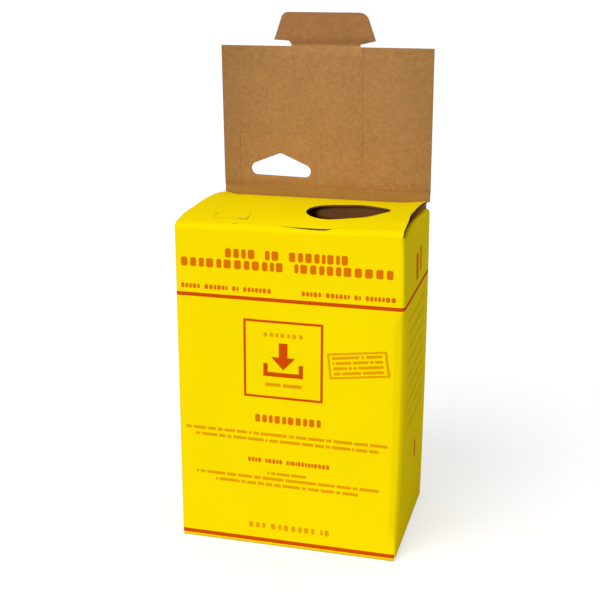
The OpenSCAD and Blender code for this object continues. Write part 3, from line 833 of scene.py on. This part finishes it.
# Dust flaps. One on each side wall, of the same board, folded in over a soft round edge and held by its
# crease alone, so that it droops. The crowned sheet stands clear above, and a dark gap shows at the sides.
dust_turn, dust_len, dust_slant = dust_soft * math.pi / 2, 11.0, 14.0
droop_more, lift_from = math.radians(65.0), 54.0
for name, s in (("left", -1), ("right", 1)):

    def dust_place(u, v, w, s=s):
        fold, r = dust_fold(s * u), dust_r(s * u)
        drooped = ramp(-dust_half, -dust_half + droop_run, s * u) * (1 - ramp(lift_from, dust_half, s * u))
        bend = math.pi / 2 + droop_more * drooped
        a = math.asin((s * u - crown_y) / r)
        if v < 0:
            x, rise = box_w / 2 + w, v
        else:
            turn, along = min(1.0, v / dust_turn) * bend, max(0.0, v - dust_turn)
            x = box_w / 2 - fold + (fold + w) * math.cos(turn) - along * math.sin(turn)
            rise = (fold + w) * math.sin(turn) + along * math.cos(turn)
        y, z = crown_y + (r + rise) * math.sin(a), crown_z + (r + rise) * math.cos(a)
        return s * x + pushed_out(s * x, y, z), y, z

    dust_bends = [dust_turn * k / 8 for k in range(9)]
    edge = [(dust_half, v) for v in dust_bends] + [(dust_half - dust_slant, dust_turn + dust_len)]
    flap = board(name + "_dust_flap_board", both_halves(edge), dust_place, wall_papers[:3],
                 lines=level_lines(-dust_half, dust_half, dust_bends[1:]),
                 joined=lambda u, v: v < snug, gap=4.0)
    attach(flap, "carton")
    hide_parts(name + "_dust_flap")

# Bottom. The panel hangs on the back wall over a round edge, lies under everything and tucks up inside the
# front wall. The two inner flaps come from the side walls and lie on it; all are the same printed board.
foot_turn, least_r = board_t * math.pi / 2, 0.05
foot_back, foot_front, foot_half = box_d / 2 - board_t, -66.5, 96.7
foot_flat = foot_turn + foot_back - foot_front
foot_tuck = foot_flat + foot_turn


def bottom_place(u, v, w):
    r = max(board_t + w, least_r)
    if v < 0:
        return u, box_d / 2 + w, board_t - v
    if v < foot_turn:
        return u, foot_back + r * math.cos(v / board_t), board_t - r * math.sin(v / board_t)
    if v < foot_flat:
        return u, foot_back - (v - foot_turn), -w
    if v < foot_tuck:
        a = (v - foot_flat) / board_t
        return u, foot_front - r * math.sin(a), board_t - r * math.cos(a)
    return u, foot_front - board_t - w, board_t + v - foot_tuck


back_bends = [foot_turn * k / 6 for k in range(7)]
front_bends = [foot_flat + foot_turn * k / 6 for k in range(7)]
bottom_end = foot_tuck + tuck_len
edge = [(foot_half, v) for v in back_bends + front_bends[:1]] + [(tuck_half, v) for v in front_bends[1:]]
edge += [(tuck_half, bottom_end - flap_slant), (tuck_half - flap_slant, bottom_end)]
bottom = board("bottom_sheet_board", both_halves(edge), bottom_place, wall_papers[:3],
               lines=level_lines(-tuck_half, tuck_half, back_bends[1:] + front_bends[1:]),
               joined=lambda u, v: v < snug)
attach(bottom, "carton")
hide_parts("bottom_panel", "bottom_tuck_flap")

inner_len, inner_front, inner_back = 70.0, -65.8, 66.0
for name, s in (("left", -1), ("right", 1)):

    def inner_place(u, v, w, s=s):
        r = max(board_t + w, least_r)
        if v < 0:
            x, z = box_w / 2 + w, side_foot - v
        elif v < foot_turn:
            x, z = box_w / 2 - board_t + r * math.cos(v / board_t), side_foot - r * math.sin(v / board_t)
        else:
            x, z = box_w / 2 - board_t - (v - foot_turn), board_t - w
        return s * x + pushed_out(s * x, -s * u, z), -s * u, z

    inner_end = foot_turn + inner_len - board_t
    low, high = sorted((-s * inner_front, -s * inner_back))
    inner_outline = [(low, v) for v in (inner_end - flap_slant, *back_bends[::-1])]
    inner_outline += [(high, v) for v in (*back_bends, inner_end - flap_slant)]
    inner_outline += [(high - flap_slant, inner_end), (low + flap_slant, inner_end)]
    flap = board(name + "_bottom_flap_board", inner_outline, inner_place, wall_papers[:3],
                 lines=level_lines(low, high, back_bends[1:]), joined=lambda u, v: v < snug)
    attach(flap, "carton")
    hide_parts(name + "_bottom_flap")

# Base pad. A sheet of stiffer, solid kraft board with rounded corners that stops needles going through the
# bottom. It is cut to the inside of the box and lies loose on the bottom flaps.
pad_t, pad_foot, pad_x, pad_front, pad_back = 2.4, 2 * board_t, 97.8, -66.2, 67.8
pad_edge = kraft_paper("pad_edge", paint(138, 98, 58), 0.7)
pad_kraft = kraft_paper("pad_kraft", paint(150, 106, 62))


def rounded(points, r, steps=8):
    """A counter-clockwise outline grown by r, with round corners."""
    out = []
    for i, (u, v) in enumerate(points):
        a, b = points[i - 1], points[(i + 1) % len(points)]
        first = math.atan2(-(u - a[0]), v - a[1])
        sweep = (math.atan2(-(b[0] - u), b[1] - v) - first) % (2 * math.pi)
        turns = [first + sweep * k / steps for k in range(steps + 1)]
        out += [(u + r * math.cos(t), v + r * math.sin(t)) for t in turns]
    return out


round_x, round_front, round_back = pad_x - corner_r, pad_front + corner_r, pad_back - corner_r
pad_outline = rounded([(round_x, round_front), (round_x, round_back), (-round_x, round_back),
                       (-round_x, round_front)], corner_r, steps=6)
pad = board("base_pad_board", pad_outline, lambda u, v, w: (u, v, pad_foot + pad_t + w),
            (pad_kraft, pad_kraft, pad_edge), thick=pad_t)
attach(pad, "carton")
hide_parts("base_pad")

# Liner. One loose sheet of corrugated board, kraft on both sides and folded to four upright panels. It
# stands on the base pad close inside the walls, and from above it shows through the drop opening.
liner_in, liner_foot, liner_top = 3.8, 5.6, 262.2
liner_kraft = kraft_paper("liner_kraft", paint(156, 108, 66))
for name, turn in (("front", 0), ("right", 1), ("back", 2), ("left", 3)):
    c, s = (1, 0, -1, 0)[turn], (0, 1, 0, -1)[turn]
    wide, reach = (box_w, box_d / 2) if turn % 2 == 0 else (box_d, box_w / 2)
    half = wide / 2 - liner_in - corner_r
    ends = corner_steps(half)
    liner_outline = level_edge(ends, liner_foot) + level_edge(ends, liner_top)[::-1]
    liner_place = upright((c, s, 0), (s, -c, 0), reach - liner_in, half)
    panel = board("liner_" + name + "_board", liner_outline, liner_place,
                  (liner_kraft, liner_kraft, cut_edge), lines=corner_lines(half, liner_foot, liner_top),
                  joined=lambda u, v, end=ends[-1]: abs(u) > end - snug)
    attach(panel, "carton")
    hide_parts("liner_" + name)

# Lid. The blank runs on above the back wall into the lid, which stands open with its plain kraft face to
# the front. Its foot is a crushed crease, its top a neck between two notches, and a score runs up its right
# part.
lid_lean = math.radians(2.2)
lid_c, lid_s = math.cos(lid_lean), math.sin(lid_lean)
kraft_face = -1.2
lid_half, lid_len, tongue_at = 100.0, 132.4, 134.404
hold_l, hold_r, hold_top, hold_gap = -83.5, -3.5, 52.0, 0.05
neck_half, neck_top, neck_round = 32.5, tongue_at - crease_lap, 6.0
lid_score_x, lid_score_w, lid_score_depth = 35.7, 0.8, 0.25


def lean_place(out, up):
    """From the lid's own flat to the box: out is towards the back, up is from the crease."""
    return crease_y + out * lid_c - up * lid_s, crease_z + out * lid_s + up * lid_c


def lid_place(u, v, w):
    crush = crushed(v)
    if abs(u) < neck_half + neck_round:
        crush = min(crush, crushed(tongue_at - v, True))
    deep = -board_t + (w + board_t) * crush
    deep -= lid_score_depth * math.exp(-((u - lid_score_x) / lid_score_w) ** 2) * (1 + w / board_t)
    y, z = lean_place(kraft_face - deep, v)
    return u, y, z


def lid_painted_shade(tree, place):
    """Painted shade: the lid is darker towards its two sides, and along its score as a faint dark line."""
    left_from, left_run, left_dark = -50.0, 50.0, 0.18
    right_from, right_run, right_dark = 60.0, 40.0, 0.12
    line_half, line_dark = 1.1, 0.12
    x = add(tree, "SeparateXYZ", {0: place}).outputs["X"]
    left = rise_share(tree, left_from * MM, x, left_run * MM)
    right = rise_share(tree, x, right_from * MM, right_run * MM)
    off = calc(tree, "DIVIDE", apart(tree, x, lid_score_x * MM), line_half * MM)
    line = calc(tree, "SUBTRACT", 1.0, off, clamp=True)
    kept = calc(tree, "MULTIPLY_ADD", left, -left_dark, 1.0)
    kept = calc(tree, "MULTIPLY_ADD", right, -right_dark, kept)
    return calc(tree, "MULTIPLY_ADD", line, -line_dark, kept)


# The lid's kraft carries painted shade, darker at its sides and along its score.
lid_kraft = kraft_paper("lid_kraft", paint(176, 129, 77), 1.4, lid_painted_shade)
lid_papers = (lid_kraft, yellow_print, cut_edge)
foot = -crease_t / 2
cut_l, cut_r, cut_top = hold_l - hold_gap, hold_r + hold_gap, hold_top + hold_gap
lid_outline = [(-lid_half, foot), (cut_l, foot), (cut_l, cut_top), (cut_r, cut_top), (cut_r, foot),
               (lid_half, foot), (lid_half, lid_len), (neck_half, lid_len), (neck_half, neck_top),
               (-neck_half, neck_top), (-neck_half, lid_len), (-lid_half, lid_len)]
score_low, score_high = 3.4, lid_len - 0.8
crush_levels = (crease_groove, crease_groove + crush_run)
lid_lines = []
for u in [lid_score_x + d for d in (-1.4, -0.6, 0.0, 0.6, 1.4)]:
    lid_lines.append([(u, score_low), (u, score_high)])
for v in crush_levels:
    lid_lines += level_lines(-lid_half, cut_l, [v]) + level_lines(cut_r, lid_half, [v])
lid_lines += level_lines(-neck_half, neck_half, (tongue_at - lap_line, tongue_at - crease_groove))
lid = board("lid_panel_board", lid_outline, lid_place, lid_papers, lines=lid_lines)
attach(lid, "lid")
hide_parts("lid_panel")

# Tongue. The end of the lid beyond its crease, with two wings and rounded corners; it folds over and locks
# the lid in the slot behind the front fold. Its left wing is cut a little wider, with a flat lower edge.
tongue_len, tongue_taper, left_r, right_r = 28.5, 9.5, 6.5, 9.5
wing_half, wing_more, wing_rise, left_rise = 47.5, 1.8, 2.2, 1.6
neck_low, neck_cut = 0.2, 2.2
slope = math.atan2(tongue_taper, tongue_len - crease_groove)


def leaning(start):
    """Where a panel lies in the lid's flat, with its crushed foot this far from the lid's own crease."""
    def place(u, v, w):
        y, z = lean_place(kraft_face + board_t - (w + board_t) * crushed(v), start + v)
        return u, y, z
    return place


def tongue_tip(r):
    """The rounded corner between the tongue's slanted side and its end."""
    middle_v = tongue_len - r
    middle_u = wing_half - (middle_v - crease_groove) * math.tan(slope) - r / math.cos(slope)
    turns = [slope + (math.pi / 2 - slope) * k / 10 for k in range(11)]
    return [(middle_u + r * math.cos(a), middle_v + r * math.sin(a)) for a in turns]


wing_tip = (wing_half - wing_rise * math.tan(slope), crease_groove + wing_rise)
neck = [(neck_half, foot), (neck_half, neck_low)]
right_tongue = neck + [wing_tip] + tongue_tip(right_r)
left_tongue = neck + [(neck_half + neck_cut, crease_groove + left_rise)]
left_tongue += [(u + wing_more, v) for u, v in [wing_tip] + tongue_tip(left_r)]
# The tongue's kraft is the lid's paper painted darker: painted shade.
tongue_kraft_shaded = kraft_paper("tongue_kraft_shaded", paint(165, 117, 72), 1.4)
tongue = board("tongue_board", right_tongue + [(-u, v) for u, v in left_tongue[::-1]], leaning(tongue_at),
               (tongue_kraft_shaded, yellow_print, cut_edge),
               lines=level_lines(-neck_half, neck_half, crush_levels), gap=6.0)
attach(tongue, "tongue")
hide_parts("lid_tongue")

# Hand-hold. Cut out of the lid on three sides and creased on the lid's own line, with a three-cornered
# finger hole; it can stay upright as a carrying handle when the lid is closed.
hole_x, hole_v, hole_half = -43.7, 16.2, 23.4
hole_rise, hole_tilt, hole_r = 10.2, 0.9, 6.0
finger_hole = rounded([(hole_x - hole_half, hole_v + hole_tilt), (hole_x + hole_half, hole_v),
                       (hole_x, hole_v + hole_rise)], hole_r)
hold_outline = [(hold_l, foot), (hold_r, foot), (hold_r, hold_top), (hold_l, hold_top)]
hold = board("hand_hold_board", hold_outline, leaning(0.0), lid_papers, holes=(finger_hole,),
             lines=level_lines(hold_l, hold_r, crush_levels), gap=6.0)
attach(hold, "hand_hold")
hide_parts("hand_hold_panel")

# Push-in flap. A small tab of the same printed board, cut on three sides in the top sheet and creased along
# its back edge, that is pushed down into the box.
push_c, push_s = math.cos(push_a), math.sin(push_a)
push_y, push_z = crown_y - (crown_r + foot) * push_s, crown_z + (crown_r + foot) * push_c


def push_place(u, v, w):
    out = w * crushed(-v) - foot
    x, y, z = push_x + u, push_y + v * push_c - out * push_s, push_z + v * push_s + out * push_c
    return x, y, z + top_give(x, y + box_d / 2)


push_outline = [(-push_half, -push_len), (push_half, -push_len), (push_half, -foot), (-push_half, -foot)]
push = board("push_in_flap_board", push_outline, push_place, wall_papers[:3], gap=4.0,
             lines=level_lines(-push_half, push_half, [-v for v in crush_levels]),
             joined=lambda u, v: v < snug - push_len)
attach(push, "push_flap")
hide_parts("push_in_flap")

# Floor and light. A plain white floor under a broad soft lamp from the front left and a weaker one from the
# front right, which reaches in through the drop opening, with even light all round.
floor_reach, floor_grey, floor_glow, sky_level = 40.0, 0.55, 0.58, 0.36
white = (1.0, 1.0, 1.0, 1.0)
floor_mesh = bpy.data.meshes.new("floor")
floor_mesh.from_pydata([(-floor_reach, -floor_reach, 0), (floor_reach, -floor_reach, 0),
                        (floor_reach, floor_reach, 0), (-floor_reach, floor_reach, 0)], [], [(0, 1, 2, 3)])
floor = bpy.data.objects.new("floor", floor_mesh)
scene.collection.objects.link(floor)
floor_paint = bpy.data.materials.new("floor_paint")
floor_paint.use_nodes = True
tree = floor_paint.node_tree
tree.nodes.clear()


def seen_directly(tree):
    """1 for what the camera, a reflection or a clear surface sees of the background, 0 for light."""
    ray = add(tree, "LightPath", {}).outputs
    return calc(tree, "MAXIMUM", calc(tree, "MAXIMUM", ray["Is Camera Ray"], ray["Is Glossy Ray"]),
                ray["Is Transmission Ray"])


matt = add(tree, "BsdfDiffuse", {"Color": (floor_grey, floor_grey, floor_grey, 1.0)})
shine = calc(tree, "MULTIPLY", seen_directly(tree), floor_glow)
glow = add(tree, "Emission", {"Color": white, "Strength": shine})
both = add(tree, "AddShader", {0: matt.outputs[0], 1: glow.outputs[0]})
add(tree, "OutputMaterial", {"Surface": both.outputs[0]})
floor_mesh.materials.append(floor_paint)

world = bpy.data.worlds.new("studio")
scene.world = world
world.use_nodes = True
tree = world.node_tree
sky = tree.nodes["Background"]
sky.inputs["Color"].default_value = white
sky_light = calc(tree, "MULTIPLY_ADD", seen_directly(tree), 1.0 - sky_level, sky_level)
tree.links.new(sky_light, sky.inputs["Strength"])

for name, energy, angle, direction in (("broad_lamp", 1.5, 35.0, (0.28, 0.50, -0.82)),
                                       ("front_lamp", 1.0, 3.0, (-0.145, 0.97, -0.215))):
    lamp = bpy.data.objects.new(name, bpy.data.lights.new(name, "SUN"))
    lamp.data.energy = energy
    lamp.data.angle = math.radians(angle)
    lamp.rotation_euler = Vector(direction).to_track_quat("-Z", "Y").to_euler()
    scene.collection.objects.link(lamp)
